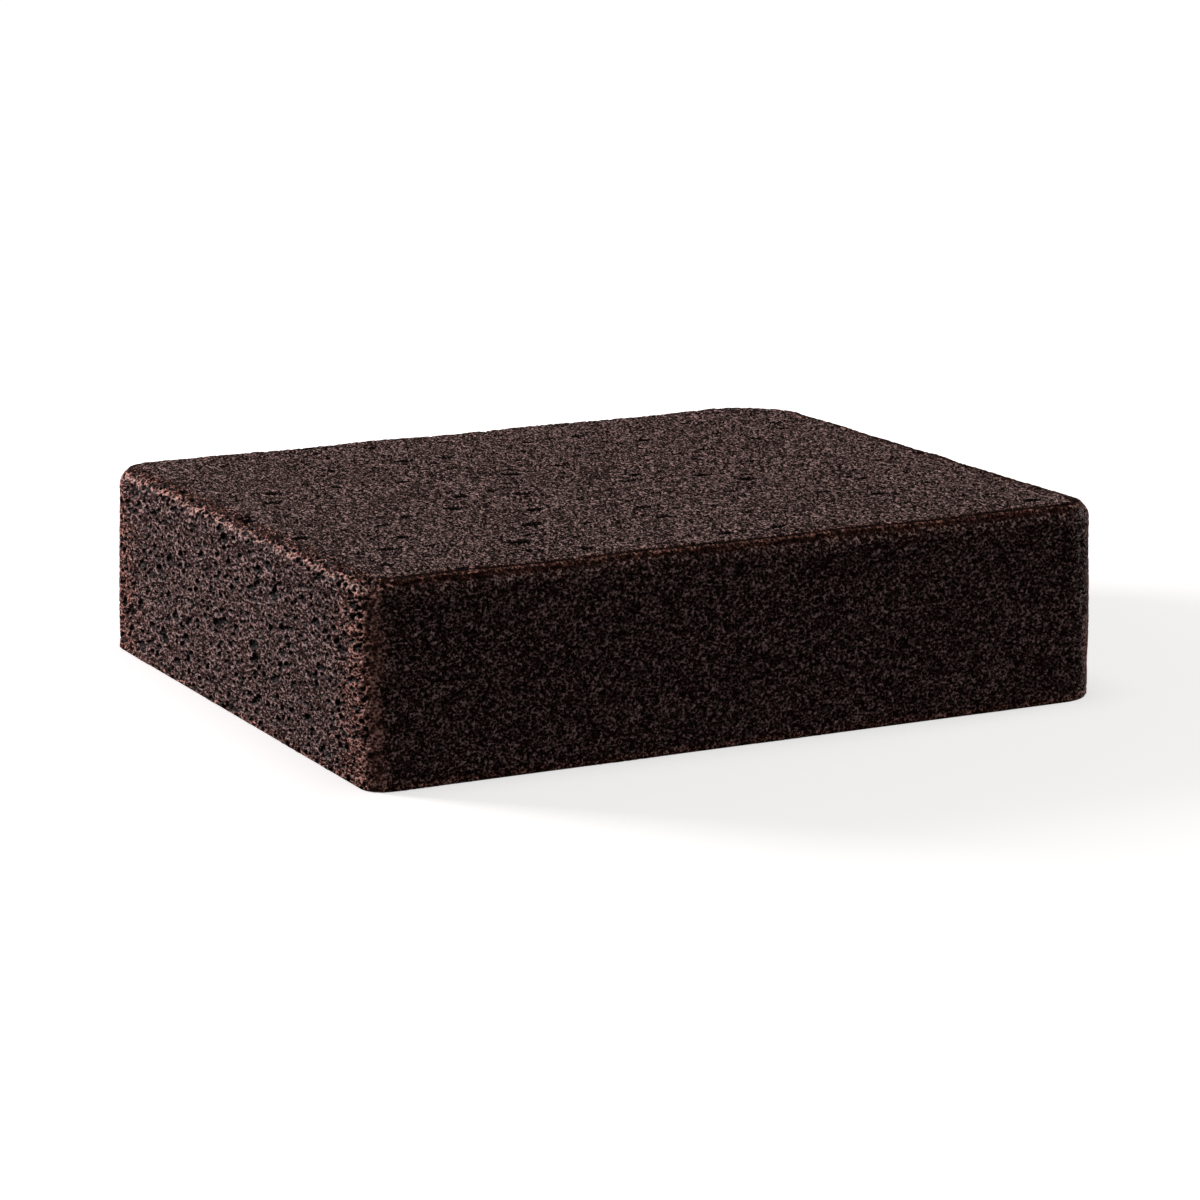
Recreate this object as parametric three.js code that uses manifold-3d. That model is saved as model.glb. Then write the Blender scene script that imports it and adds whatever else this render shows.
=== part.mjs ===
/**
 * Mud cake: one uncut rectangular slab of dense chocolate crumb, baked in a tin and left bare.
 *
 * Millimetres, +Z up. X runs along the long front face and Y from front to back. The origin is
 * the middle of the flat underside. The sides are upright, the rim between them and the top is
 * rounded, and the upright edges are rounded too, more widely at the top than at the foot. The
 * crumb shows as a gentle unevenness of every face and as open pores, the largest of which are
 * cut here.
 */
import * as THREE from 'three';
import { mergeVertices } from 'three/addons/utils/BufferGeometryUtils.js';
import Module from 'manifold-3d';

// Overall size of the slab.
const LENGTH = 250;
const DEPTH = 220;
const HEIGHT = 62.5;

// Roundings and the small bevel at the foot.
const RIM_RADIUS = 5.5;
const FOOT_BEVEL = 0.6;

// The four upright edges with their plan radii at the foot and at the top, counterclockwise seen
// from above: back right, back left, front left and front right.
const UPRIGHT_EDGES = [
  { sideX: 1, sideY: 1, footRadius: 10, topRadius: 26 },
  { sideX: -1, sideY: 1, footRadius: 4, topRadius: 12 },
  { sideX: -1, sideY: -1, footRadius: 8, topRadius: 14 },
  { sideX: 1, sideY: -1, footRadius: 14, topRadius: 13.5 },
];
const WIDEST_RADIUS = Math.max(...UPRIGHT_EDGES.map(({ topRadius }) => topRadius));

// Facets: steps round an upright edge, along the straight sides, up the side, over the rim and
// across the top.
const ARC_STEPS = 6;
const STEPS_ALONG_LENGTH = 24;
const STEPS_ALONG_DEPTH = 21;
const SIDE_ROWS = 8;
const RIM_ROWS = 4;
const TOP_RINGS = 8;

// Unevenness of the baked faces: a sum of sine waves, each shorter and lower than the one before.
const WAVE_COUNT = 6;
const LONGEST_WAVE = 64;
const WAVE_SHORTENING = 0.74;
const RELIEF_HEIGHT = 0.34;
const GOLDEN_ANGLE = Math.PI * (3 - Math.sqrt(5));

// Pores: how many show on each kind of face, how far they keep from its edges, and their sizes
// as half axes: across the face, up the face (away from the front on top) and into the crumb.
const PORES_PER_LONG_SIDE = 15;
const PORES_PER_SHORT_SIDE = 15;
const PORES_ON_TOP = 14;
const PORE_EDGE_MARGIN = 9;
const SIDE_PORE = { across: 1.25, along: 1.6, depth: 1.5 };
const TOP_PORE = { across: 2.3, along: 1.7, depth: 1.2 };
const PORE_SIZE_SPREAD = 0.35;
const PORE_SIDES = 7;
const PORE_PROFILE_STEPS = 4;

const PORE_SPACING = 11;
const PORE_SEED = 7;

// The linear congruential generator that draws the places and sizes of the pores.
const RANDOM_FACTOR = 1664525;
const RANDOM_STEP = 1013904223;
const RANDOM_RANGE = 2 ** 32;

const CRUMB_COLOUR = 0x3a2a26;
const CRUMB_ROUGHNESS = 0.78;

const lerp = THREE.MathUtils.lerp;

/** A repeatable source of random numbers from 0 to 1. */
function randomSource(seed) {
  let state = seed;
  return () => {
    state = (Math.imul(RANDOM_FACTOR, state) + RANDOM_STEP) >>> 0;
    return state / RANDOM_RANGE;
  };
}

/** Height of the unevenness at a point: a sum of sine waves that run in turned directions. */
function relief(point) {
  let wavelength = LONGEST_WAVE;
  let amplitude = 1;
  let sum = 0;
  let total = 0;
  for (let wave = 0; wave < WAVE_COUNT; wave += 1) {
    const heading = wave * GOLDEN_ANGLE;
    const climb = Math.sin(wave + 1);
    const along = point.x * Math.cos(heading) + point.y * Math.sin(heading) + point.z * climb;
    sum += amplitude * Math.sin((2 * Math.PI * along) / wavelength + wave);
    total += amplitude;
    wavelength *= WAVE_SHORTENING;
    amplitude *= WAVE_SHORTENING;
  }
  return (RELIEF_HEIGHT * sum) / total;
}

/** Plan outline at one height: a rounded rectangle drawn in by `inset`, as points and normals. */
function outline(height, inset) {
  const arcs = UPRIGHT_EDGES.map(({ sideX, sideY, footRadius, topRadius }, edge) => {
    const radius = lerp(footRadius, topRadius, height / HEIGHT) - inset;
    const centreX = sideX * (LENGTH / 2 - inset - radius);
    const centreY = sideY * (DEPTH / 2 - inset - radius);
    return Array.from({ length: ARC_STEPS + 1 }, (_, step) => {
      const angle = ((edge + step / ARC_STEPS) * Math.PI) / 2;
      const normal = new THREE.Vector2(Math.cos(angle), Math.sin(angle));
      return { x: centreX + radius * normal.x, y: centreY + radius * normal.y, normal };
    });
  });
  const ring = [];
  arcs.forEach((arc, edge) => {
    ring.push(...arc);
    const from = arc[ARC_STEPS];
    const to = arcs[(edge + 1) % arcs.length][0];
    const steps = edge % 2 === 0 ? STEPS_ALONG_LENGTH : STEPS_ALONG_DEPTH;
    for (let step = 1; step < steps; step += 1) {
      const share = step / steps;
      ring.push({ x: lerp(from.x, to.x, share), y: lerp(from.y, to.y, share), normal: from.normal });
    }
  });
  return ring;
}

/** Points of one row round the slab, pushed out along the surface normal by the unevenness. */
function sideRow(height, inset, tilt) {
  return outline(height, inset).map(({ x, y, normal }) => {
    const point = new THREE.Vector3(x, y, height);
    const push = relief(point);
    point.x += push * Math.cos(tilt) * normal.x;
    point.y += push * Math.cos(tilt) * normal.y;
    point.z += push * Math.sin(tilt);
    return point;
  });
}

/** All rows from the foot, up the side, over the rim and in across the top. */
function slabRows() {
  const rows = [sideRow(0, FOOT_BEVEL, 0)];
  for (let row = 0; row <= SIDE_ROWS; row += 1) {
    rows.push(sideRow(lerp(FOOT_BEVEL, HEIGHT - RIM_RADIUS, row / SIDE_ROWS), 0, 0));
  }
  for (let row = 1; row <= RIM_ROWS; row += 1) {
    const tilt = ((row / RIM_ROWS) * Math.PI) / 2;
    const height = HEIGHT - RIM_RADIUS * (1 - Math.sin(tilt));
    rows.push(sideRow(height, RIM_RADIUS * (1 - Math.cos(tilt)), tilt));
  }
  const topEdge = outline(HEIGHT, RIM_RADIUS);
  for (let ring = 1; ring < TOP_RINGS; ring += 1) {
    const share = 1 - ring / TOP_RINGS;
    rows.push(topEdge.map(({ x, y }) => {
      const point = new THREE.Vector3(x * share, y * share, HEIGHT);
      point.z += relief(point);
      return point;
    }));
  }
  return rows;
}

/** The slab without pores: rows joined by facets, closed by a fan below and a fan on top. */
function slabGeometry() {
  const rows = slabRows();
  const columns = rows[0].length;
  const middleOfTop = new THREE.Vector3(0, 0, HEIGHT);
  middleOfTop.z += relief(middleOfTop);
  const points = [...rows.flat(), new THREE.Vector3(0, 0, 0), middleOfTop];
  const underside = points.length - 2;
  const summit = points.length - 1;
  const lastRow = (rows.length - 1) * columns;
  const triangles = [];
  for (let column = 0; column < columns; column += 1) {
    const next = (column + 1) % columns;
    for (let row = 0; row < rows.length - 1; row += 1) {
      const lower = row * columns;
      const upper = lower + columns;
      triangles.push(lower + column, lower + next, upper + next);
      triangles.push(lower + column, upper + next, upper + column);
    }
    triangles.push(underside, next, column);
    triangles.push(summit, lastRow + column, lastRow + next);
  }
  const geometry = new THREE.BufferGeometry().setFromPoints(points);
  geometry.setIndex(triangles);
  return geometry;
}

/** A pore as a closed ellipsoid with its short axis along +Z. */
function poreGeometry(size, scale) {
  const profile = Array.from({ length: PORE_PROFILE_STEPS + 1 }, (_, step) => {
    const angle = (step / PORE_PROFILE_STEPS - 0.5) * Math.PI;
    const isPole = step === 0 || step === PORE_PROFILE_STEPS;
    return new THREE.Vector2(isPole ? 0 : Math.cos(angle), Math.sin(angle));
  });
  const geometry = new THREE.LatheGeometry(profile, PORE_SIDES);
  geometry.rotateX(Math.PI / 2);
  geometry.scale(size.across * scale, size.along * scale, size.depth * scale);
  return geometry;
}

/** Places and size factors of the pores on a face of this width and height, none too close. */
function spreadPores(count, width, height, random) {
  const pores = [];
  while (pores.length < count) {
    const u = (random() - 0.5) * (width - 2 * PORE_EDGE_MARGIN);
    const v = (random() - 0.5) * (height - 2 * PORE_EDGE_MARGIN);
    const scale = 1 + PORE_SIZE_SPREAD * (2 * random() - 1);
    if (pores.every((pore) => Math.hypot(pore.u - u, pore.v - v) > PORE_SPACING)) {
      pores.push({ u, v, scale });
    }
  }
  return pores;
}

/** Pores of one upright face, which looks out at `turn` radians from the front. */
function sidePores(count, width, distance, turn, random) {
  const flatWidth = width - WIDEST_RADIUS;
  return spreadPores(count, flatWidth, HEIGHT, random).map(({ u, v, scale }) => {
    const geometry = poreGeometry(SIDE_PORE, scale);
    geometry.rotateX(Math.PI / 2);
    geometry.translate(u, -distance, HEIGHT / 2 + v);
    geometry.rotateZ(turn);
    return geometry;
  });
}

/** Pores of the top face. */
function topPores(random) {
  const flatLength = LENGTH - 2 * PORE_EDGE_MARGIN;
  const flatDepth = DEPTH - 2 * PORE_EDGE_MARGIN;
  return spreadPores(PORES_ON_TOP, flatLength, flatDepth, random).map(({ u, v, scale }) => {
    const geometry = poreGeometry(TOP_PORE, scale);
    geometry.translate(u, v, HEIGHT);
    return geometry;
  });
}

/** A solid for cutting, made from a closed geometry. */
function solidFrom(wasm, geometry) {
  geometry.deleteAttribute('normal');
  geometry.deleteAttribute('uv');
  const merged = mergeVertices(geometry);
  const mesh = new wasm.Mesh({
    numProp: 3,
    vertProperties: new Float32Array(merged.attributes.position.array),
    triVerts: new Uint32Array(merged.index.array),
  });
  return new wasm.Manifold(mesh);
}

/** The geometry of a cut solid. */
function geometryFrom(solid) {
  const mesh = solid.getMesh();
  const geometry = new THREE.BufferGeometry();
  geometry.setAttribute('position', new THREE.BufferAttribute(mesh.vertProperties, 3));
  geometry.setIndex(new THREE.BufferAttribute(mesh.triVerts, 1));
  return geometry;
}

/** Brings the geometry to exactly the stated size, centred over the origin and standing at 0. */
function fitToSize(geometry) {
  geometry.computeBoundingBox();
  const size = geometry.boundingBox.getSize(new THREE.Vector3());
  const centre = geometry.boundingBox.getCenter(new THREE.Vector3());
  geometry.translate(-centre.x, -centre.y, -geometry.boundingBox.min.z);
  geometry.scale(LENGTH / size.x, DEPTH / size.y, HEIGHT / size.z);
}

/** The whole cake: the slab with its pores cut, as one mesh. */
async function buildCake() {
  const wasm = await Module();
  wasm.setup();
  const random = randomSource(PORE_SEED);
  const pores = [
    ...sidePores(PORES_PER_LONG_SIDE, LENGTH, DEPTH / 2, 0, random),
    ...sidePores(PORES_PER_SHORT_SIDE, DEPTH, LENGTH / 2, Math.PI / 2, random),
    ...sidePores(PORES_PER_LONG_SIDE, LENGTH, DEPTH / 2, Math.PI, random),
    ...sidePores(PORES_PER_SHORT_SIDE, DEPTH, LENGTH / 2, -Math.PI / 2, random),
    ...topPores(random),
  ];
  const slab = solidFrom(wasm, slabGeometry());
  const cut = pores.reduce((solid, pore) => solid.subtract(solidFrom(wasm, pore)), slab);
  const geometry = geometryFrom(cut);
  fitToSize(geometry);
  const crumb = new THREE.MeshStandardMaterial({
    color: CRUMB_COLOUR,
    roughness: CRUMB_ROUGHNESS,
    metalness: 0,
    flatShading: true,
  });
  const cake = new THREE.Mesh(geometry, crumb);
  cake.name = 'cake';
  return cake;
}

const part = new THREE.Group();
part.name = 'mud_cake';
part.add(await buildCake());

export default part;
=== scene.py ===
"""Looks of the mud cake: an uncut slab of dense chocolate crumb, rebuilt at the resolution of its pores.

The slab stands on the floor at the origin, X along its long front face, Y towards its back and Z up,
in metres. Its form repeats the CAD solid: upright sides, a rounded rim, upright edges whose radius
changes with height, and a gentle unevenness. That form carries the relief of the crumb: the bubbles
that the surface cuts open, slits across the top, and a lip, a groove and gaps along the rims.
"""

import itertools
import logging
import math
from dataclasses import dataclass
from dataclasses import field
from enum import Enum

import bpy
import numpy as np
from mathutils import Matrix
from mathutils import Vector


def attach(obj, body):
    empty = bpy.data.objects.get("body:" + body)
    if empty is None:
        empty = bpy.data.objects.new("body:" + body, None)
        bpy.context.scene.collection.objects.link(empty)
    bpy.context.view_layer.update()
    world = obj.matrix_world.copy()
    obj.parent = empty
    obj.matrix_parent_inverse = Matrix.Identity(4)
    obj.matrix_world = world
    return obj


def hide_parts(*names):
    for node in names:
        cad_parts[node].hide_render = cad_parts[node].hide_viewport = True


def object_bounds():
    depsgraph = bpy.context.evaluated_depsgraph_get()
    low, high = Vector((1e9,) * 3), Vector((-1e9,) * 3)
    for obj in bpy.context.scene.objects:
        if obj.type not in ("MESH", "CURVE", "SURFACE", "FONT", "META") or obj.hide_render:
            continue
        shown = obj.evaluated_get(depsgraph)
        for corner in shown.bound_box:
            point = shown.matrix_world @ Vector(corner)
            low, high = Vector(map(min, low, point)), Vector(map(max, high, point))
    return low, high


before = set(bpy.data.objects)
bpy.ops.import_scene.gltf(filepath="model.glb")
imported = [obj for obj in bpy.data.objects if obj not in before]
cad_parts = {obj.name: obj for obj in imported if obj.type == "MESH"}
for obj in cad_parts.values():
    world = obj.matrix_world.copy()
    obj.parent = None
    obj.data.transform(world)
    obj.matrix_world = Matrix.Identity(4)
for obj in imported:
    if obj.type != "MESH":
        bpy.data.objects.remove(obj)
CAD_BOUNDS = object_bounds()

MM = 0.001
NODE = "cake"
QUARTER_TURN = math.pi / 2
GOLDEN_ANGLE = math.pi * (3 - math.sqrt(5))
AXIS_FACTORS = np.array([73856093, 19349663, 83492791], dtype=np.int64)
SALT_FACTOR = 2654435761
SCRAMBLES = ((13, 1274126177), (15, 2246822519))
LAST_SHIFT = 16
WORD = 0xFFFFFFFF
MULTIPLE_STEP = 97
BUBBLE_DRAWS = 5
NEARLY_NOTHING = 1e-9
WHITE = (1.0, 1.0, 1.0, 1.0)

# How much the crumb is drawn out along X, Y and Z.
DRAWING = (1.0, 2.0, 1.0)

# Sockets of the mix node, which has a pair of inputs and an output for each kind of value.
FIRST_NUMBER, SECOND_NUMBER, MIXED_NUMBER = 2, 3, 0
FIRST_COLOUR, SECOND_COLOUR, MIXED_COLOUR = 6, 7, 2

log = logging.getLogger("mud cake")


class Side(Enum):
    """The four upright sides, numbered counterclockwise by the upright edge that each starts at."""

    BACK = 0
    LEFT = 1
    FRONT = 2
    RIGHT = 3


def smoothstep(low: float, high: float, value: np.ndarray) -> np.ndarray:
    """Smooth ramp from 0 at `low` to 1 at `high`; `low` may be the larger of the two."""
    share = np.clip((value - low) / (high - low), 0.0, 1.0)
    return share * share * (3 - 2 * share)


def cell_randoms(cells: np.ndarray, salt: int, count: int) -> np.ndarray:
    """Repeatable random numbers from 0 to 1, `count` of them for each integer lattice cell.

    A cell's indices are scrambled into one share of 1, and each random number is the part after
    the point of another multiple of that share.

    Args:
        cells: Cell indices, in an array whose last axis holds X, Y and Z.
        salt: A whole number that tells one draw from another.
        count: How many numbers each cell gets.

    Returns:
        The random numbers, in an array whose last axis holds the `count` numbers of a cell.
    """
    key = np.bitwise_xor.reduce(cells.astype(np.int64) * AXIS_FACTORS, axis=-1) ^ (salt * SALT_FACTOR)
    for shift, factor in SCRAMBLES:
        key = ((key ^ (key >> shift)) * factor) & WORD
    share = (key ^ (key >> LAST_SHIFT)) / float(WORD + 1)
    return np.modf(share[..., None] * (1 + MULTIPLE_STEP * np.arange(count)))[0]


def value_noise(points: np.ndarray, wavelength: float, salt: int) -> np.ndarray:
    """Smooth noise from -1 to 1: random lattice values blended over the eight corners of each cell.

    Args:
        points: Positions in millimetres, in an array whose last axis holds X, Y and Z.
        wavelength: Edge of a lattice cell in millimetres.
        salt: A whole number that tells one noise from another.

    Returns:
        The noise at each point.
    """
    scaled = points / wavelength
    base = np.floor(scaled)
    blend = scaled - base
    blend = blend * blend * (3 - 2 * blend)
    total = np.zeros(points.shape[:-1])
    for corner in itertools.product((0, 1), repeat=3):
        weight = np.prod(np.where(corner, blend, 1 - blend), axis=-1)
        total += weight * cell_randoms(base + corner, salt, 1)[..., 0]
    return 2 * total - 1


@dataclass(frozen=True)
class Skin:
    """A smooth skin over (rows, columns), in millimetres, counterclockwise as seen from outside.

    It holds points, their outward unit normals, and how far each is drawn in from the outline.
    """

    points: np.ndarray
    normals: np.ndarray
    inset: np.ndarray


@dataclass(frozen=True)
class Unevenness:
    """Gentle swell of the baked faces: a sum of sine waves, each shorter and lower than the last."""

    wave_count: int = 6
    longest_wave: float = 64.0
    shortening: float = 0.74
    height: float = 0.34

    def at(self, points: np.ndarray) -> np.ndarray:
        """Height of the swell: sines along directions that turn by the golden angle.

        Args:
            points: Positions in millimetres, in an array whose last axis holds X, Y and Z.

        Returns:
            The height of the swell at each point in millimetres.
        """
        total = np.zeros(points.shape[:-1])
        weight = 0.0
        for wave in range(self.wave_count):
            heading = wave * GOLDEN_ANGLE
            direction = np.array([math.cos(heading), math.sin(heading), math.sin(wave + 1)])
            scale = self.shortening**wave
            phase = 2 * math.pi * (points @ direction) / (self.longest_wave * scale)
            total += scale * np.sin(phase + wave)
            weight += scale
        return self.height * total / weight


@dataclass(frozen=True)
class Bubbles:
    """Gas bubbles strewn through the crumb, at most one in each cell of a cubic lattice.

    They are round in a space whose axes are divided by `drawing`. No radius is more than half a
    cell, so that only the eight nearest cells count at any point. The lip is a share of a bubble's
    mouth. The ring round a mouth, where the walls get a painted highlight, lies at `ring_place`
    times its radius, and its width is a share of the smallest radius.
    """

    cell: float
    smallest: float
    largest: float
    share: float
    salt: int
    drawing: tuple[float, ...] = DRAWING
    lip: float = 0.3
    ring_place: float = 1.1
    ring_width: float = 0.35

    def cut_open(self, skin: Skin) -> tuple[np.ndarray, np.ndarray]:
        """The pores that a skin cuts open.

        A bubble with centre c and radius r that holds the skin's point p has its far wall at the
        depth b + sqrt(b^2 - |p - c|^2 + r^2), with b the height of p over c. The last part
        towards the bubble's outline is eased to zero, so that its mouth has a rounded lip.

        Args:
            skin: The smooth skin.

        Returns:
            The depth of the far wall at each point in millimetres, zero outside every bubble, and
            a closeness to the mouth of a bubble from 0 to 1 that is highest on its lip.
        """
        points = skin.points / self.drawing
        outward = skin.normals / self.drawing
        speed = np.linalg.norm(outward, axis=-1)
        facing = outward / speed[..., None]
        base = np.floor(points / self.cell - 0.5)
        deepest = np.zeros(points.shape[:-1])
        closest = np.zeros(points.shape[:-1])
        for step in itertools.product((0, 1), repeat=3):
            # A cell draws its bubble's centre, its size and whether it has a bubble at all.
            draws = cell_randoms(base + step, self.salt, BUBBLE_DRAWS)
            away = points - (base + step + draws[..., :3]) * self.cell
            radius = self.smallest + (self.largest - self.smallest) * draws[..., 3] ** 2
            radius = np.where(draws[..., 4] < self.share, radius, 0.0)
            height = np.sum(away * facing, axis=-1)
            beside = np.sqrt(np.maximum(np.sum(away * away, axis=-1) - height * height, 0.0))
            mouth = np.sqrt(np.maximum(radius * radius - height * height, NEARLY_NOTHING))
            reach = np.sqrt(np.maximum(radius * radius - beside * beside, 0.0))
            inside = smoothstep(1.0, 1.0 - self.lip, beside / mouth)
            is_open = np.abs(height) < radius
            deepest = np.maximum(deepest, np.where(is_open, inside * (height + reach), 0.0))
            ring = np.exp(-(((beside - self.ring_place * mouth) / (self.ring_width * self.smallest)) ** 2))
            ring = ring * np.minimum(mouth / self.smallest, 1.0)
            closest = np.maximum(closest, np.where(is_open, ring, 0.0))
        return deepest / speed, closest


@dataclass
class SlabForm:
    """The smooth form of the slab, in millimetres, as functions of place on its skin.

    The radii of the upright edges run back right, back left, front left, front right, as each
    side starts in the middle of the edge with its own number and ends in the middle of the next.
    """

    length: float
    depth: float
    height: float
    rim_radius: float = 5.5
    foot_bevel: float = 0.6
    bevel_rows: int = 2
    foot_radii: tuple[float, ...] = (10.0, 4.0, 8.0, 14.0)
    top_radii: tuple[float, ...] = (26.0, 12.0, 14.0, 13.5)
    side_x: tuple[int, ...] = (1, -1, -1, 1)
    side_y: tuple[int, ...] = (1, 1, -1, -1)
    top_band: float = 5.0

    def _edge(self, edge: int, height: np.ndarray, inset: np.ndarray) -> tuple[np.ndarray, ...]:
        """The rounding of one upright edge.

        Args:
            edge: Number of the edge; the one after the last is the first again.
            height: Height of each row.
            inset: How far each row is drawn in from the full outline.

        Returns:
            The radius of the rounding and the X and the Y of its centre, one for each row.
        """
        edge = edge % len(Side)
        share = height / self.height
        radius = self.foot_radii[edge] + (self.top_radii[edge] - self.foot_radii[edge]) * share - inset
        centre_x = self.side_x[edge] * (self.length / 2 - inset - radius)
        centre_y = self.side_y[edge] * (self.depth / 2 - inset - radius)
        return radius, centre_x, centre_y

    def row(self, side: Side, along: np.ndarray, height: np.ndarray, inset: np.ndarray) -> tuple:
        """Plan points and normals of one side, from the middle of one upright edge to the next.

        The first and last stretches of `along` turn half round the two edges as arcs, centre +
        radius times (cos, sin) of the turning angle, and the middle is a straight line.

        Args:
            side: Which side.
            along: Places from 0 to 1 along the side, one for each column.
            height: Height of each row.
            inset: How far each row is drawn in from the full outline.

        Returns:
            Points and unit normals, each of shape (rows, columns, 2).
        """
        start = self._edge(side.value, height[:, None], inset[:, None])
        end = self._edge(side.value + 1, height[:, None], inset[:, None])
        span = self.length if side in (Side.FRONT, Side.BACK) else self.depth
        first = self.top_radii[side.value] * QUARTER_TURN / 2 / span
        last = self.top_radii[(side.value + 1) % len(Side)] * QUARTER_TURN / 2 / span
        facing = (side.value + 1) * QUARTER_TURN
        turn_in = np.clip(along / first, 0, 1) / 2 - 0.5
        turn_out = np.clip((along - 1 + last) / last, 0, 1) / 2
        turn = facing + (turn_in + turn_out) * QUARTER_TURN
        angle = np.broadcast_to(turn, (len(height), len(along)))
        normals = np.stack([np.cos(angle), np.sin(angle)], axis=-1)
        straight = np.clip((along - first) / (1 - first - last), 0, 1)[None, :]
        centre = [start[axis] + (end[axis] - start[axis]) * straight for axis in (1, 2)]
        radius = start[0] + (end[0] - start[0]) * straight
        points = np.stack(centre, axis=-1) + radius[..., None] * normals
        return points, normals

    def profile(self, pitch: float) -> tuple[np.ndarray, ...]:
        """Height, inset and tilt of each row: foot bevel, side, rim and a band of the top.

        Args:
            pitch: Distance between rows in millimetres.

        Returns:
            Heights, insets and the tilt of the normal above the horizon in radians.
        """
        rim_top = self.height - self.rim_radius
        bevel = np.linspace(0, 1, self.bevel_rows + 1)[:-1]
        side = np.arange(0, 1, pitch / (rim_top - self.foot_bevel))
        rim = np.arange(0, 1, pitch / (self.rim_radius * QUARTER_TURN)) * QUARTER_TURN
        band = np.linspace(0, 1, int(self.top_band / pitch) + 2)
        height = np.concatenate([
            self.foot_bevel * bevel,
            self.foot_bevel + (rim_top - self.foot_bevel) * side,
            rim_top + self.rim_radius * np.sin(rim),
            np.full_like(band, self.height),
        ])
        inset = np.concatenate([
            self.foot_bevel * (1 - bevel),
            np.zeros_like(side),
            self.rim_radius * (1 - np.cos(rim)),
            self.rim_radius + self.top_band * band,
        ])
        tilt = np.concatenate([
            np.zeros(bevel.size + side.size),
            rim,
            np.full_like(band, QUARTER_TURN),
        ])
        return height, inset, tilt

    def side_skin(self, side: Side, across: float, up: float) -> Skin:
        """The skin of one side with its half of the upright edges, its rim and its band of the top.

        Args:
            side: Which side.
            across: Distance between columns in millimetres.
            up: Distance between rows in millimetres.

        Returns:
            The skin, with its rows from the foot up.
        """
        span = self.length if side in (Side.FRONT, Side.BACK) else self.depth
        along = np.linspace(0, 1, int(span / across) + 1)
        height, inset, tilt = self.profile(up)
        plan, facing = self.row(side, along, height, inset)
        level = np.broadcast_to(height[:, None], plan.shape[:2])
        points = np.concatenate([plan, level[..., None]], axis=-1)
        rise = np.broadcast_to(np.sin(tilt)[:, None], plan.shape[:2])
        normals = np.concatenate([facing * np.cos(tilt)[:, None, None], rise[..., None]], axis=-1)
        return Skin(points, normals, np.broadcast_to(inset[:, None], plan.shape[:2]))

    def top_skin(self, across: float, away: float) -> Skin:
        """The skin of the top inside its band, as a patch spanned by its four borders.

        Each point is the sum of the two blends between opposite borders, less the blend of the
        four corners, so that the grid follows the rounded outline and is even in the middle.

        Args:
            across: Distance between columns, along X, in millimetres.
            away: Distance between rows, along Y, in millimetres.

        Returns:
            The skin, with its rows from the front to the back.
        """
        # The rim and the band together take up about two rim radii on either side.
        both_sides = 4 * self.rim_radius
        columns = np.linspace(0, 1, int((self.length - both_sides) / across) + 1)
        rows = np.linspace(0, 1, int((self.depth - both_sides) / away) + 1)
        height = np.array([self.height])
        inset = np.array([self.rim_radius + self.top_band])
        front = self.row(Side.FRONT, columns, height, inset)[0]
        back = self.row(Side.BACK, columns[::-1], height, inset)[0]
        left = self.row(Side.LEFT, rows[::-1], height, inset)[0][0][:, None]
        right = self.row(Side.RIGHT, rows, height, inset)[0][0][:, None]
        u = columns[None, :, None]
        v = rows[:, None, None]
        corners = (1 - v) * ((1 - u) * front[:, :1] + u * front[:, -1:])
        corners = corners + v * ((1 - u) * back[:, :1] + u * back[:, -1:])
        plan = (1 - v) * front + v * back + (1 - u) * left + u * right - corners
        level = np.full(plan.shape[:2] + (1,), self.height)
        normals = np.broadcast_to(np.array([0.0, 0.0, 1.0]), plan.shape[:2] + (3,))
        points = np.concatenate([plan, level], axis=-1)
        return Skin(points, normals, np.full(plan.shape[:2], inset[0]))


@dataclass(frozen=True)
class TiltBand:
    """A soft band of the skin by its tilt in degrees above the horizon, fullest at its middle."""

    middle: float
    reach: float

    def at(self, tilt: np.ndarray) -> np.ndarray:
        """How far each tilt belongs to the band, from 0 to 1, as a bell curve."""
        return np.exp(-(((tilt - self.middle) / self.reach) ** 2))


@dataclass(frozen=True)
class Zones:
    """What each point of the skin belongs to: its tilt in degrees, and shares from 0 to 1."""

    tilt: np.ndarray
    # The redder baked edges, and the calmer front, right and back.
    edge: np.ndarray
    frontal: np.ndarray
    # The middle of an upright edge's rounding, and the lower curve of the left rim, both where highlights
    # are painted.
    corner: np.ndarray
    arris: np.ndarray
    # Along the front, right and back rims: the row of gaps, the raised lip and the groove behind it.
    seam: np.ndarray
    lip: np.ndarray
    groove: np.ndarray


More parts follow.
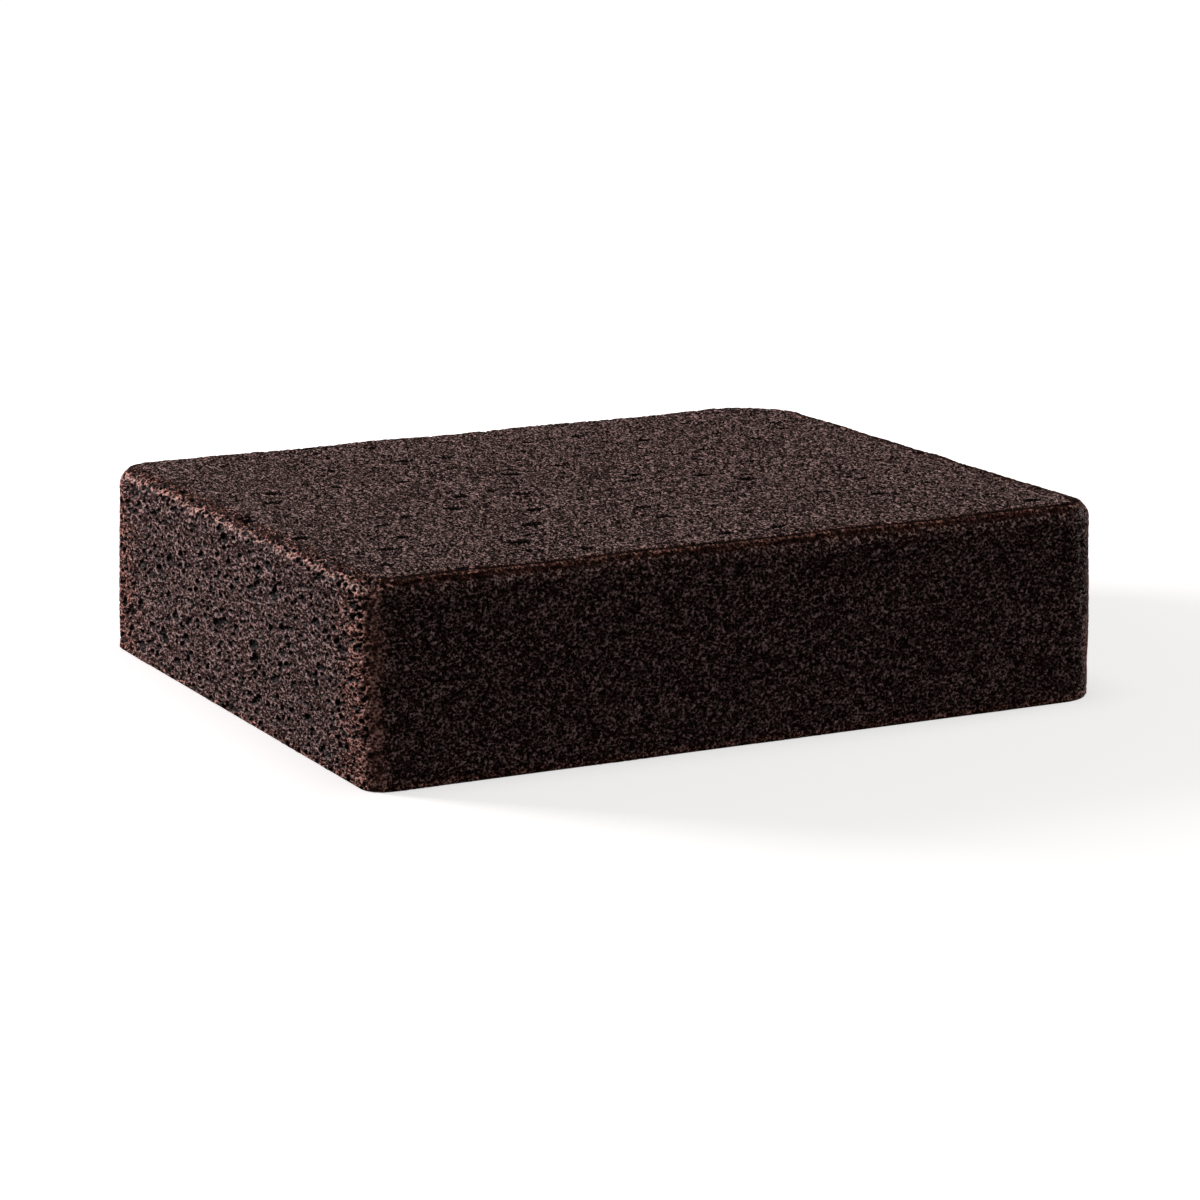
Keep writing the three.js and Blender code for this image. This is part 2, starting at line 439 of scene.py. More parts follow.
@dataclass
class Crumb:
    """Relief of the crumb on the slab's form, in millimetres.

    Small pores lie everywhere. The wider ones open on the left side, slits take their place on the
    top, and the front, right and back stay calm. Their rims have a row of gaps and a raised lip.
    """

    form: SlabForm
    swell: Unevenness = field(default_factory=Unevenness)

    # Bubbles of the whole crumb, then the slits of the top, the gaps of the rims and the holes of
    # the baked edges. The slits begin where a normal's upright part lies between `level_limits`.
    large: Bubbles = Bubbles(cell=4.8, smallest=1.25, largest=1.95, share=0.55, salt=11)
    middling: Bubbles = Bubbles(cell=2.6, smallest=0.8, largest=1.25, share=0.9, salt=15)
    small: tuple[Bubbles, ...] = (
        Bubbles(cell=1.9, smallest=0.58, largest=0.93, share=0.88, salt=21),
        Bubbles(cell=1.2, smallest=0.36, largest=0.58, share=0.9, salt=31),
    )
    slits: Bubbles = Bubbles(
        cell=7.2, smallest=1.2, largest=1.9, share=0.95, salt=41, drawing=(2.2, 1.6, 1.0)
    )
    gaps: Bubbles = Bubbles(
        cell=3.2, smallest=1.0, largest=1.5, share=1.0, salt=51, drawing=(1.5, 1.0, 0.8)
    )
    holes: Bubbles = Bubbles(cell=2.3, smallest=0.6, largest=1.05, share=0.9, salt=61)
    level_limits: tuple[float, ...] = (0.9, 1.0)
    deepest: float = 1.2
    pore_depth: float = 0.10

    # How far the baked edges reach: over the top, down the left and right sides, down the front
    # and back, up from the foot, and from the upright edges along X and along Y.
    top_reach: float = 8.5
    side_reach: float = 4.0
    front_reach: float = 2.2
    foot_reach: float = 3.0
    turn_reach: tuple[float, ...] = (8.0, 28.0)
    edge_fade: tuple[float, ...] = (1.0, 0.4)
    edge_wander: float = 0.2
    wander_wave: float = 6.0
    wander_salt: int = 71

    # The calmer front, right and back. How far a point faces them is the part of its normal that
    # points there over the level part, eased between `frontal_limits`. Then follow how deep the
    # wide and the small pores are there, how much less painted shade their hollows take, how far
    # the walls are evened out and at what brightness.
    frontal_limits: tuple[float, ...] = (0.35, 0.8)
    least_cosine: float = 0.01
    front_openness: float = 0.06
    front_fineness: float = 0.5
    front_paleness: float = 0.35
    front_calm: float = 0.75
    front_light: float = 0.64

    # Where the rims have the painted highlight along the left rim, and the gaps, lip and groove, and
    # how high the lip and how deep the groove is. A noise makes the lip uneven.
    arris: TiltBand = TiltBand(28, 14)
    seam: TiltBand = TiltBand(36, 14)
    lip: TiltBand = TiltBand(62, 8)
    groove: TiltBand = TiltBand(79, 5)
    lip_height: float = 0.45
    lip_unevenness: float = 0.3
    lip_wave: float = 1.6
    lip_salt: int = 95
    groove_depth: float = 0.35

    # Grain of the walls: two noises, each with its wavelength, its share and its salt.
    grain: tuple[tuple[float, float, int], ...] = ((0.75, 0.75, 81), (1.8, 0.25, 91))
    grain_height: float = 0.15

    # Brightness of the walls: plain, a painted highlight on the lips of pores, with the grain, and a
    # painted highlight on the raised lip.
    plain_light: float = 0.5
    painted_pore_lip_highlight: float = 0.5
    grain_light: float = 0.5
    painted_lip_highlight: float = 0.85
    lip_grain_light: float = 0.3

    # Shade of every rim and shade of the calmer sides' rims alone, each growing between two tilts.
    # A painted highlight along the left rim, painted shade in the groove, and a painted highlight on
    # the upright edges, which fades between two tilts. Between the last two tilts begins what the
    # finish takes for the top.
    rim_shade: float = 0.32
    rim_tilts: tuple[float, ...] = (38, 60)
    front_shade: float = 0.30
    front_tilts: tuple[float, ...] = (5, 25)
    arris_light: float = 0.55
    groove_shade: float = 0.4
    painted_corner_highlight: float = 0.65
    corner_tilts: tuple[float, ...] = (60, 30)
    flat_tilts: tuple[float, ...] = (50, 80)

    def _baked(self, skin: Skin) -> np.ndarray:
        """How far each point belongs to a baked edge, whose border wanders with a noise.

        Args:
            skin: The smooth skin.

        Returns:
            Shares from 0 to 1.
        """
        x, y, rise = np.moveaxis(skin.points, -1, 0)
        down = self.side_reach + (self.front_reach - self.side_reach) * np.abs(skin.normals[..., 1])
        rim = np.maximum(skin.inset / self.top_reach, (self.form.height - rise) / down)
        foot = np.maximum(skin.inset, rise) / self.foot_reach
        across = (self.form.length / 2 - np.abs(x)) / self.turn_reach[0]
        turn = np.maximum(across, (self.form.depth / 2 - np.abs(y)) / self.turn_reach[1])
        wander = self.edge_wander * value_noise(skin.points, self.wander_wave, self.wander_salt)
        return smoothstep(*self.edge_fade, np.min([rim, foot, turn], axis=0) + wander)

    def _zones(self, skin: Skin) -> Zones:
        """Finds what each point of the skin belongs to.

        Args:
            skin: The smooth skin.

        Returns:
            The tilt and the shares of every zone.
        """
        edge = self._baked(skin)
        tilt = np.degrees(np.arcsin(np.clip(skin.normals[..., 2], 0, 1)))
        across, away = np.abs(skin.normals[..., 0]), np.abs(skin.normals[..., 1])
        heading = np.maximum(away, skin.normals[..., 0])
        level_share = np.maximum(np.cos(np.radians(tilt)), self.least_cosine)
        frontal = smoothstep(*self.frontal_limits, heading / level_share)
        unevenness = self.lip_unevenness * value_noise(skin.points, self.lip_wave, self.lip_salt)
        return Zones(
            tilt=tilt,
            edge=edge,
            frontal=frontal,
            corner=edge * 2 * across * away * smoothstep(*self.corner_tilts, tilt),
            arris=edge * (1 - frontal) * self.arris.at(tilt),
            seam=edge * frontal * self.seam.at(tilt),
            lip=edge * frontal * self.lip.at(tilt) * (1 - self.lip_unevenness + unevenness),
            groove=edge * frontal * self.groove.at(tilt),
        )

    def _pits(self, skin: Skin, zones: Zones) -> tuple[np.ndarray, np.ndarray]:
        """The pores that the skin cuts open, each kind as deep as its share of each zone allows.

        Args:
            skin: The smooth skin.
            zones: What its points belong to.

        Returns:
            The depth of the pores at each point, held to `deepest`, and the closeness to their lips.
        """
        level = smoothstep(*self.level_limits, skin.normals[..., 2])
        fine = 1 + (self.front_fineness - 1) * zones.frontal
        opened = (1 - level) * (1 + (self.front_openness - 1) * zones.frontal)
        layers = [(bubbles.cut_open(skin), fine) for bubbles in self.small]
        layers.append((self.middling.cut_open(skin), opened))
        layers.append((self.large.cut_open(skin), opened * (1 - zones.edge)))
        layers.append((self.slits.cut_open(skin), level))
        layers.append((self.gaps.cut_open(skin), zones.seam))
        layers.append((self.holes.cut_open(skin), zones.edge * opened))
        depth = np.max([pits * share for (pits, _), share in layers], axis=0)
        closeness = np.max([lips * share for (_, lips), share in layers], axis=0)
        return self.deepest * np.tanh(depth / self.deepest), closeness

    def _wall(self, zones: Zones, closeness: np.ndarray, grain: np.ndarray) -> np.ndarray:
        """Brightness of the walls between the pores, with painted shade and painted highlights in it.

        Args:
            zones: What each point belongs to.
            closeness: Closeness to the lips of pores.
            grain: Grain of the walls, from -1 to 1.

        Returns:
            The brightness at each point, about 0 to 1.
        """
        shade = self.rim_shade * smoothstep(*self.rim_tilts, zones.tilt)
        shade = shade + self.front_shade * zones.frontal * smoothstep(*self.front_tilts, zones.tilt)
        # Painted highlights along the left rim and on the upright edges, painted shade in the groove.
        change = self.arris_light * zones.arris - self.groove_shade * zones.groove
        lit = 1 - zones.edge * shade + (change + self.painted_corner_highlight * zones.corner)
        # A painted highlight on the lips of pores.
        light = self.plain_light + self.painted_pore_lip_highlight * closeness + self.grain_light * grain
        light = np.clip(light, 0, 1)
        wall = (light + self.front_calm * zones.frontal * (self.front_light - light)) * lit
        # A painted highlight on the raised lip.
        return wall + zones.lip * (self.painted_lip_highlight + self.lip_grain_light * grain - wall)

    def shape(self, skin: Skin) -> tuple[np.ndarray, dict]:
        """Pushes the skin's points in and out along their normals.

        Args:
            skin: The smooth skin.

        Returns:
            The moved points, and the values that the finish reads by name: how far each point
            belongs to the baked edges (`edge`), to the painted highlight along the left rim
            (`arris`) and to the top (`flat`), how deep it lies in a pore (`pore`), which
            sets the painted shade there, and how bright the wall between the pores is (`wall`), with its
            painted shade and highlights.
        """
        zones = self._zones(skin)
        drawn = skin.points / DRAWING
        grain = sum(share * value_noise(drawn, wave, salt) for wave, share, salt in self.grain)
        pits, closeness = self._pits(skin, zones)
        push = self.swell.at(skin.points) + self.grain_height * grain - pits
        push += self.lip_height * zones.lip - self.groove_depth * zones.groove
        moved = skin.points + push[..., None] * skin.normals
        moved[..., 2] = np.where(skin.points[..., 2] <= 0, 0.0, np.maximum(moved[..., 2], 0.0))
        return moved, {
            "edge": zones.edge,
            "pore": np.clip(pits / self.pore_depth, 0, 1) * (1 - self.front_paleness * zones.frontal),
            "wall": self._wall(zones, closeness, grain),
            "flat": smoothstep(*self.flat_tilts, zones.tilt),
            "arris": zones.arris,
        }


def border_of(rows: int, columns: int) -> np.ndarray:
    """Vertex numbers round a grid's border, counterclockwise from its first corner."""
    grid = np.arange(rows * columns).reshape(rows, columns)
    return np.concatenate([grid[0, :-1], grid[:-1, -1], grid[-1, :0:-1], grid[:0:-1, 0]])


def make_object(name: str, points: np.ndarray, quads: np.ndarray, triangles: np.ndarray) -> bpy.types.Object:
    """Makes a mesh object from points in millimetres, smooth on its quads and flat on its triangles.

    Args:
        name: Name of the object and its mesh.
        points: Vertices, of shape (count, 3).
        quads: Vertex numbers of the four-sided faces.
        triangles: Vertex numbers of the three-sided faces.

    Returns:
        The new object, linked to the scene, at the origin.
    """
    mesh = bpy.data.meshes.new(name)
    corners = np.concatenate([triangles.ravel(), quads.ravel()]).astype(np.int32)
    sizes = np.concatenate([np.full(len(triangles), 3), np.full(len(quads), 4)])
    mesh.vertices.add(len(points))
    mesh.vertices.foreach_set("co", (points * MM).astype(np.float32).ravel())
    mesh.loops.add(len(corners))
    mesh.loops.foreach_set("vertex_index", corners)
    mesh.polygons.add(len(sizes))
    mesh.polygons.foreach_set("loop_start", (np.cumsum(sizes) - sizes).astype(np.int32))
    mesh.polygons.foreach_set("use_smooth", sizes == 4)
    mesh.update(calc_edges=True)
    mesh.validate()
    piece = bpy.data.objects.new(name, mesh)
    bpy.context.scene.collection.objects.link(piece)
    return piece


@dataclass
class Wiring:
    """Short ways of placing and joining shader nodes in one node tree."""

    tree: bpy.types.NodeTree

    def node(self, kind: str, inputs: dict | None = None, **settings: object) -> bpy.types.Node:
        """Places a node.

        Args:
            kind: The node's type name.
            inputs: Sockets by name or number, each with a value or with the output to link.
            settings: Properties of the node by name.

        Returns:
            The new node.
        """
        made = self.tree.nodes.new(kind)
        for setting, value in settings.items():
            setattr(made, setting, value)
        for socket, value in (inputs or {}).items():
            self.join(value, made.inputs[socket])
        return made

    def join(self, value: object, socket: bpy.types.NodeSocket) -> None:
        """Links an output to a socket, or sets the socket to a plain value.

        Args:
            value: The output or the plain value.
            socket: The input that takes it.
        """
        if isinstance(value, bpy.types.NodeSocket):
            self.tree.links.new(value, socket)
        else:
            socket.default_value = value

    def math(self, operation: str, first: object, second: object) -> bpy.types.NodeSocket:
        """Output of a math node on two values."""
        return self.node("ShaderNodeMath", inputs={0: first, 1: second}, operation=operation).outputs[0]

    def vector(self, operation: str, first: object, second: object) -> bpy.types.NodeSocket:
        """Output of a vector math node on two vectors."""
        made = self.node("ShaderNodeVectorMath", inputs={0: first, 1: second}, operation=operation)
        return made.outputs[0]

    def mix(self, factor: object, first: object, second: object) -> bpy.types.NodeSocket:
        """Colour between two colours."""
        inputs = {0: factor, FIRST_COLOUR: first, SECOND_COLOUR: second}
        return self.node("ShaderNodeMix", inputs, data_type="RGBA").outputs[MIXED_COLOUR]

    def blend(self, factor: object, first: object, second: object) -> bpy.types.NodeSocket:
        """Number between two numbers."""
        inputs = {0: factor, FIRST_NUMBER: first, SECOND_NUMBER: second}
        return self.node("ShaderNodeMix", inputs).outputs[MIXED_NUMBER]

    def ramp(self, value: object, low: float, high: float) -> bpy.types.NodeSocket:
        """Smooth ramp of a value from 0 at `low` to 1 at `high`."""
        limits = {"Value": value, "From Min": low, "From Max": high}
        return self.node("ShaderNodeMapRange", inputs=limits, interpolation_type="SMOOTHSTEP").outputs[0]

    def attribute(self, name: str) -> bpy.types.NodeSocket:
        """Value that each mesh holds for its points under this name."""
        return self.node("ShaderNodeAttribute", attribute_name=name).outputs["Fac"]


@dataclass
class CrumbCells:
    """Shader node group of the finest pores: round cells of random width between uneven walls.

    A noise bends the cells. The softness of their outlines and the distances from the outlines
    between which the walls rise are in pitches.
    """

    name: str = "fine crumb cells"
    bend_scale: float = 0.9
    bend_detail: float = 1.0
    bend_middle: tuple[float, ...] = (0.5, 0.5, 0.5)
    softness: float = 0.1
    wall_limits: tuple[float, ...] = (0.12, 0.62)

    def build(self) -> bpy.types.NodeTree:
        """Makes the group.

        Returns:
            The group, with the inputs Vector, Pitch, Warp and Open and the outputs Height, which is
            1 on the walls, and Hole, which is 1 in the pores.
        """
        tree = bpy.data.node_groups.new(self.name, "ShaderNodeTree")
        for socket, kind in (("Vector", "Vector"), ("Pitch", "Float"), ("Warp", "Float"), ("Open", "Float")):
            tree.interface.new_socket(socket, in_out="INPUT", socket_type=f"NodeSocket{kind}")
        for socket in ("Height", "Hole"):
            tree.interface.new_socket(socket, in_out="OUTPUT", socket_type="NodeSocketFloat")
        wire = Wiring(tree)
        given = wire.node("NodeGroupInput").outputs
        scaled = wire.vector("DIVIDE", given["Vector"], given["Pitch"])
        noise = {"Vector": scaled, "Scale": self.bend_scale, "Detail": self.bend_detail}
        bend = wire.node("ShaderNodeTexNoise", noise).outputs["Color"]
        centred = wire.vector("SUBTRACT", bend, self.bend_middle)
        place = wire.vector("ADD", scaled, wire.vector("MULTIPLY", centred, given["Warp"]))
        cells = wire.node("ShaderNodeTexVoronoi", inputs={"Vector": place, "Scale": 1.0}).outputs
        draw = wire.node("ShaderNodeSeparateColor", inputs={"Color": cells["Color"]}).outputs["Red"]
        beyond = wire.math("SUBTRACT", cells["Distance"], wire.math("MULTIPLY", draw, given["Open"]))
        hole = wire.ramp(beyond, self.softness, -self.softness)
        wall = wire.ramp(beyond, *self.wall_limits)
        result = wire.node("NodeGroupOutput")
        wire.join(wall, result.inputs["Height"])
        wire.join(hole, result.inputs["Hole"])
        return tree


@dataclass(frozen=True)
class CrumbFinish:
    """Finish of the chocolate crumb: red-brown, with a moist shine on the walls between its pores."""

    # Colours of the walls from dark to bright, in the middle of a face, on the baked edges and of the
    # painted highlight along the left rim, then the near black painted as shade in the pores, and the
    # colour of the shine. The tone picks between dark and bright by the crumb's random grain and by
    # painted shade and highlights.
    dark: tuple[float, ...] = (0.014, 0.005, 0.0028, 1.0)
    middle: tuple[float, ...] = (0.29, 0.126, 0.100, 1.0)
    bright: tuple[float, ...] = (0.66, 0.45, 0.43, 1.0)
    edge_middle: tuple[float, ...] = (0.50, 0.150, 0.105, 1.0)
    edge_bright: tuple[float, ...] = (0.95, 0.50, 0.42, 1.0)
    arris_bright: tuple[float, ...] = (1.0, 0.64, 0.56, 1.0)
    painted_pore_shade: tuple[float, ...] = (0.0012, 0.0006, 0.0005, 1.0)
    shine_tint: tuple[float, ...] = (1.0, 0.66, 0.62, 1.0)

    # Roughness of the walls and of the hollows, strength of the shine, and how fast the walls darken.
    gloss: float = 0.26
    dullness: float = 0.4
    shine: float = 0.06
    tone_power: float = 2.05

    # The finest pores: their pitch in millimetres and their contrast, on the sides and on the top,
    # how far they are bent and opened, the height that keeps the tone, and how much painted shade
    # their holes take.
    pitches: tuple[float, ...] = (0.72, 0.56)
    contrasts: tuple[float, ...] = (0.85, 1.8)
    warp: float = 0.7
    openness: float = 0.5
    even_height: float = 0.55
    fine_pore_painted_shade: float = 0.6
    bump_depth: float = 0.26 * MM

    def build(self, group: bpy.types.NodeTree) -> bpy.types.Material:
        """Makes the material.

        Args:
            group: The node group of the finest pores.

        Returns:
            The material.
        """
        material = bpy.data.materials.new("chocolate crumb")
        material.use_nodes = True
        wire = Wiring(material.node_tree)
        shader = material.node_tree.nodes["Principled BSDF"]
        place = wire.node("ShaderNodeTexCoord").outputs["Object"]
        scaled = wire.vector("MULTIPLY", place, tuple(1 / MM / stretch for stretch in DRAWING))
        both = []
        for pitch in self.pitches:
            settings = {"Vector": scaled, "Pitch": pitch, "Warp": self.warp, "Open": self.openness}
            both.append(wire.node("ShaderNodeGroup", node_tree=group, inputs=settings).outputs)
        flat = wire.attribute("flat")
        height = wire.blend(flat, both[0]["Height"], both[1]["Height"])
        opening = wire.blend(flat, both[0]["Hole"], both[1]["Hole"])
        edge = wire.attribute("edge")
        wall = wire.attribute("wall")
        # The tone falls towards the finest pores as painted shade and follows the walls' brightness.
        uneven = wire.math("SUBTRACT", height, self.even_height)
        swing = wire.math("MULTIPLY", uneven, wire.blend(flat, *self.contrasts))
        fine = wire.math("ADD", swing, 1.0)
        tone = wire.math("POWER", wire.ramp(wire.math("MULTIPLY", fine, wall), 0.0, 1.0), self.tone_power)
        # Painted shade: the finest pores and the mesh's pores darken towards near black.
        hole = wire.math("MULTIPLY", opening, self.fine_pore_painted_shade)
        painted_pore_shade = wire.math("MAXIMUM", wire.attribute("pore"), hole)
        reddest = wire.mix(edge, self.middle, self.edge_middle)
        lightest = wire.mix(tone, reddest, wire.mix(edge, self.bright, self.edge_bright))
        # Painted highlight along the left rim.
        lightest = wire.mix(wire.attribute("arris"), lightest, self.arris_bright)
        body = wire.mix(tone, self.dark, lightest)
        colour = wire.mix(painted_pore_shade, body, self.painted_pore_shade)
        bump = wire.node("ShaderNodeBump", inputs={"Height": height, "Distance": self.bump_depth})
        wire.join(colour, shader.inputs["Base Color"])
        wire.join(wire.blend(painted_pore_shade, self.gloss, self.dullness), shader.inputs["Roughness"])
        wire.join(bump.outputs["Normal"], shader.inputs["Normal"])
        shader.inputs["Specular IOR Level"].default_value = self.shine
        shader.inputs["Specular Tint"].default_value = self.shine_tint
        return material


@dataclass
class Cake:
    """The whole cake, divided into wedges that meet in its middle so that each stays light enough."""

    form: SlabForm
    crumb: Crumb
    finish: bpy.types.Material

    # Distances between columns and between rows in millimetres, finest where the camera looks.
    pitches: dict = field(default_factory=lambda: {
        Side.FRONT: (0.34, 0.34),
        Side.LEFT: (0.30, 0.29),
        Side.BACK: (0.52, 0.52),
        Side.RIGHT: (0.52, 0.52),
    })
    top_pitch: tuple[float, ...] = (0.40, 0.44)
    most_triangles: int = 185000
    core_margin: float = 7.0
    foot_columns: int = 120
    foot_rings: int = 2

    def _closed(self, name: str, skin: np.ndarray, values: dict) -> bpy.types.Object:
        """Closes a skin into a wedge: a collar down to the core's box, then a fan to its middle.

        Args:
            name: Name of the piece.
            skin: Points of the skin, of shape (rows, columns, 3), counterclockwise from outside.
            values: Values for each point of the skin, by the name that the finish reads.

        Returns:
            The piece.
        """
        rows, columns = skin.shape[:2]
        grid = np.arange(rows * columns).reshape(rows, columns)
        faces = np.stack([grid[:-1, :-1], grid[:-1, 1:], grid[1:, 1:], grid[1:, :-1]], axis=-1)
        border = border_of(rows, columns)
        points = skin.reshape(-1, 3)
        half = np.array([self.form.length, self.form.depth, self.form.height]) / 2 - self.core_margin
        middle = np.array([0.0, 0.0, self.form.height / 2])
        inner = np.clip(points[border], middle - half, middle + half)
        collar = len(points) + np.arange(len(border))
        apex = len(points) + len(border)
        following = np.roll(border, -1)
        following_collar = np.roll(collar, -1)
        collar_faces = np.stack([following, border, collar, following_collar], axis=-1)
        fan = np.stack([following_collar, collar, np.full(len(collar), apex)], axis=-1)
        ring = np.stack([collar_faces[:, [0, 1, 2]], collar_faces[:, [0, 2, 3]]], axis=1).reshape(-1, 3)
        everything = np.concatenate([points, inner, middle[None]])
        piece = make_object(name, everything, faces.reshape(-1, 4), np.concatenate([ring, fan]))
        for key, value in values.items():
            padded = np.zeros(len(everything), dtype=np.float32)
            padded[: len(points)] = value.ravel()
            layer = piece.data.attributes.new(key, "FLOAT", "POINT")
            layer.data.foreach_set("value", padded)
        return self._dress(piece)

    def _wedges(self, name: str, smooth: Skin) -> list[bpy.types.Object]:
        """Lays the crumb on a smooth skin and divides it into wedges, none of them too heavy.

        Args:
            name: Name that the wedges share.
            smooth: The smooth skin.

        Returns:
            The wedges, side by side along the columns.
        """
        skin, values = self.crumb.shape(smooth)
        rows, columns = skin.shape[:2]
        count = math.ceil(2 * rows * columns / self.most_triangles)
        cuts = np.linspace(0, columns - 1, count + 1).astype(int)
        wedges = []
        for number, (first, last) in enumerate(itertools.pairwise(cuts), start=1):
            part = {key: value[:, first : last + 1] for key, value in values.items()}
            wedges.append(self._closed(f"{name}_{number}", skin[:, first : last + 1], part))
        return wedges

    def _dress(self, piece: bpy.types.Object) -> bpy.types.Object:
        """Gives a piece the crumb finish and its place in the frame.

        Args:
            piece: The piece.

        Returns:
            The same piece.
        """
        piece.data.materials.append(self.finish)
        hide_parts(NODE)
        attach(piece, "root")
        log.info("%s: %d faces", piece.name, len(piece.data.polygons))
        return piece

    def side(self, side: Side) -> list[bpy.types.Object]:
        """One upright side with its halves of the upright edges, its rim and its band of the top."""
        return self._wedges(f"crumb_{side.name.lower()}", self.form.side_skin(side, *self.pitches[side]))

    def top(self) -> list[bpy.types.Object]:
        """The flat of the top inside that band."""
        return self._wedges("crumb_top", self.form.top_skin(*self.top_pitch))

    def underside(self) -> bpy.types.Object:
        """The flat underside: rings round a hub, closed by a cone up to the middle of the cake.

        Returns:
            The piece.
        """
        along = np.linspace(0, 1, self.foot_columns)
        level = np.array([0.0])
        inset = np.array([self.form.foot_bevel])
        ring = np.concatenate([self.form.row(side, along[:-1], level, inset)[0][0] for side in Side])
        outer = np.concatenate([ring, np.zeros((len(ring), 1))], axis=-1)[::-1]
        rings = np.linspace(1, 0, self.foot_rings + 1)[:-1, None, None] * outer
        middle = np.array([[0.0, 0.0, 0.0], [0.0, 0.0, self.form.height / 2]])
        points = np.concatenate([rings.reshape(-1, 3), middle])
        grid = np.arange(self.foot_rings * len(outer)).reshape(self.foot_rings, -1)
        following = np.roll(grid, -1, axis=1)
        flat = np.stack([grid[:-1], following[:-1], following[1:], grid[1:]], axis=-1).reshape(-1, 4)
        hub = np.full(len(outer), grid.size)
        disc = np.stack([grid[-1], following[-1], hub], axis=-1)
        cone = np.stack([following[0], grid[0], hub + 1], axis=-1)
        return self._dress(make_object("crumb_underside", points, flat, np.concatenate([disc, cone])))

    def build(self) -> list[bpy.types.Object]:
        """Builds every wedge of the cake."""
        sides = [wedge for side in Side for wedge in self.side(side)]
        return [*sides, *self.top(), self.underside()]


@dataclass(frozen=True)
class View:
    """The camera: where it looks from, in degrees round and above the cake, and how it is turned."""

    azimuth: float = -25.63
    elevation: float = 12.26
    roll: float = -0.73
    distance: float = 1.338
    lens: float = 125.4
    sensor: float = 36.0
    target: tuple[float, ...] = (-0.0047, -0.0149, 0.0271)

    def build(self) -> bpy.types.Object:
        """Makes the scene's camera.

        Returns:
            The camera.
        """
        azimuth, elevation, roll = map(math.radians, (self.azimuth, self.elevation, self.roll))
        back = Vector((
            math.sin(azimuth) * math.cos(elevation),
            -math.cos(azimuth) * math.cos(elevation),
            math.sin(elevation),
        ))
        level = back.cross(Vector((0, 0, 1))).normalized() * -1
        upright = back.cross(level)
        right = level * math.cos(roll) + upright * math.sin(roll)
        up = upright * math.cos(roll) - level * math.sin(roll)
        camera = bpy.data.objects.new("camera", bpy.data.cameras.new("camera"))
        camera.data.lens = self.lens
        camera.data.sensor_width = self.sensor
        camera.data.dof.use_dof = False
        turn = Matrix((right, up, back)).transposed().to_4x4()
        camera.matrix_world = Matrix.Translation(Vector(self.target) + back * self.distance) @ turn
        bpy.context.scene.collection.objects.link(camera)
        bpy.context.scene.camera = camera
        return camera


@dataclass(frozen=True)
class Lamp:
    """A square soft light that looks at the middle of the cake."""

    name: str
    place: tuple[float, ...]
    size: float
    power: float
    colour: tuple[float, ...] = (1.0, 1.0, 1.0)

    def build(self) -> bpy.types.Object:
        """Makes the light.

        Returns:
            The lamp, linked to the scene.
        """
        data = bpy.data.lights.new(self.name, "AREA")
        data.shape = "SQUARE"
        data.size = self.size
        data.energy = self.power
        data.color = self.colour
        lamp = bpy.data.objects.new(self.name, data)
        lamp.location = self.place
        lamp.rotation_mode = "QUATERNION"
        lamp.rotation_quaternion = Vector(self.place).to_track_quat("Z", "Y")
        bpy.context.scene.collection.objects.link(lamp)
        return lamp


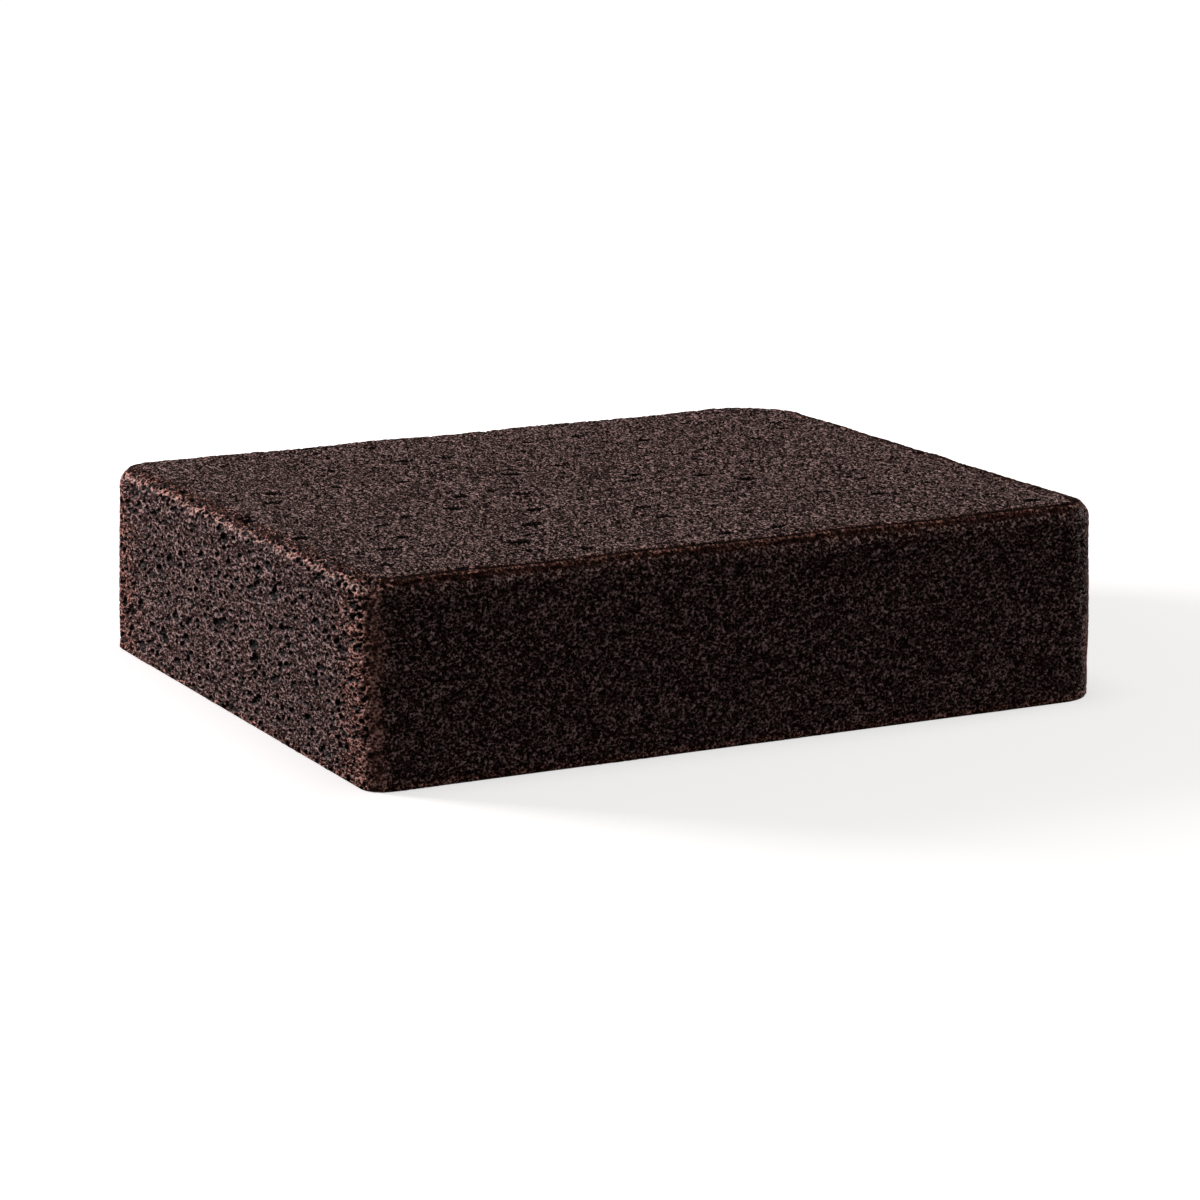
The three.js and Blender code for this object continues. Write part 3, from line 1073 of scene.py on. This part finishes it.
@dataclass(frozen=True)
class Studio:
    """Pale floor, white surroundings and soft lights, of which the main one stands to the left.

    The glow of the floor grows from the first value of `floor_glow` to the second between the
    distances `painted_shadow_reach` from the middle of the cake, in metres: the dimmer glow near
    the cake is a painted shadow.
    """

    floor_width: float = 16.0
    floor_glow: tuple[float, ...] = (0.60, 1.0)
    painted_shadow_reach: tuple[float, ...] = (0.16, 0.60)
    floor_colour: tuple[float, ...] = (0.8, 0.8, 0.8, 1.0)
    floor_roughness: float = 0.9
    ambient: float = 0.05
    lamps: tuple[Lamp, ...] = (
        Lamp("key light", (-0.86, 0.88, 0.45), 0.35, 13.9, (1.0, 0.90, 0.91)),
        Lamp("overhead light", (0.05, -0.12, 1.2), 0.6, 3.8, (1.0, 0.97, 0.91)),
        Lamp("front fill", (0.30, -1.60, 0.90), 1.0, 1.5, (1.0, 0.96, 0.98)),
        Lamp("edge light", (1.1, 0.12, 0.16), 0.25, 1.6),
    )

    def floor(self) -> bpy.types.Object:
        """A wide glowing floor that casts no light on the cake and shows its soft shadow: the lamps cast
        part of it, and a dimmer glow near the cake paints the rest.

        Returns:
            The floor.
        """
        half = self.floor_width / 2
        mesh = bpy.data.meshes.new("floor")
        corners = [(-half, -half, 0), (half, -half, 0), (half, half, 0), (-half, half, 0)]
        mesh.from_pydata(corners, [], [(0, 1, 2, 3)])
        material = bpy.data.materials.new("pale floor")
        material.use_nodes = True
        shader = material.node_tree.nodes["Principled BSDF"]
        shader.inputs["Base Color"].default_value = self.floor_colour
        shader.inputs["Roughness"].default_value = self.floor_roughness
        shader.inputs["Emission Color"].default_value = WHITE
        wire = Wiring(material.node_tree)
        place = wire.node("ShaderNodeTexCoord").outputs["Object"]
        away = wire.node("ShaderNodeVectorMath", inputs={0: place}, operation="LENGTH").outputs["Value"]
        # Painted shadow: the floor glows less near the cake.
        glow = wire.blend(wire.ramp(away, *self.painted_shadow_reach), *self.floor_glow)
        wire.join(glow, shader.inputs["Emission Strength"])
        mesh.materials.append(material)
        floor = bpy.data.objects.new("floor", mesh)
        floor.visible_diffuse = False
        floor.visible_glossy = False
        bpy.context.scene.collection.objects.link(floor)
        return floor

    def surroundings(self) -> None:
        """White where the camera sees it and dim where it lights the cake."""
        world = bpy.data.worlds.new("surroundings")
        world.use_nodes = True
        bpy.context.scene.world = world
        wire = Wiring(world.node_tree)
        seen = wire.node("ShaderNodeLightPath").outputs["Is Camera Ray"]
        strengths = {"Value": seen, "To Min": self.ambient, "To Max": 1.0}
        strength = wire.node("ShaderNodeMapRange", strengths)
        backdrop = world.node_tree.nodes["Background"]
        backdrop.inputs["Color"].default_value = WHITE
        wire.join(strength.outputs["Result"], backdrop.inputs["Strength"])

    def build(self) -> None:
        """Sets up the whole studio."""
        self.floor()
        self.surroundings()
        for lamp in self.lamps:
            lamp.build()
        bpy.context.scene.view_settings.view_transform = "Standard"


def main() -> None:
    """Builds the cake to the size of the CAD solid, then the studio and the camera."""
    logging.basicConfig(level=logging.INFO, format="%(name)s: %(message)s")
    size = (CAD_BOUNDS[1] - CAD_BOUNDS[0]) / MM
    form = SlabForm(length=size.x, depth=size.y, height=size.z)
    finish = CrumbFinish().build(CrumbCells().build())
    Cake(form, Crumb(form), finish).build()
    Studio().build()
    View().build()


if __name__ == "__main__":
    main()
